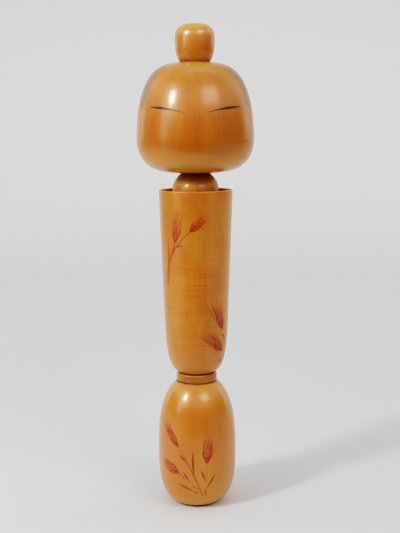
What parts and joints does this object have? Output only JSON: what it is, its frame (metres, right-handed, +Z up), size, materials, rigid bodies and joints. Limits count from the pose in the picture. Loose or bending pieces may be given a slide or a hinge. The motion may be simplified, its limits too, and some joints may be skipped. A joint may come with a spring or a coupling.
{
  "type": "kokeshi doll",
  "caption": "Free-standing turned wooden doll with a painted face and brushed wheat ears; the head turns on the neck dowel.",
  "frame": {"origin": "centre of the flat base, on the surface that the doll stands on", "axes": "+Z up along the turning axis, the face and the brushed motifs look along -Y"},
  "size_m": [0.073, 0.073, 0.303],
  "materials": {
    "body_wood": "clear gloss varnish over honey-coloured wood",
    "head_wood": "clear gloss varnish over honey-coloured wood, thin brushed hair wash",
    "ring_wood": "clear gloss varnish over red-brown stain",
    "dowel_wood": "bare sanded wood"
  },
  "bodies": {
    "body": {"lower_body": "body_wood", "waist_ring": "ring_wood", "waist_dowel": "dowel_wood", "upper_body": "body_wood", "neck_ball": "head_wood", "neck_dowel": "dowel_wood"},
    "head": {"head": "head_wood", "topknot": "head_wood", "topknot_dowel": "dowel_wood"}
  },
  "joints": [
    {"name": "head_turn", "type": "hinge", "parent": "body", "child": "head", "pos_m": [0, 0, 0.212], "axis": [0, 0, 1], "continuous": true}
  ]
}
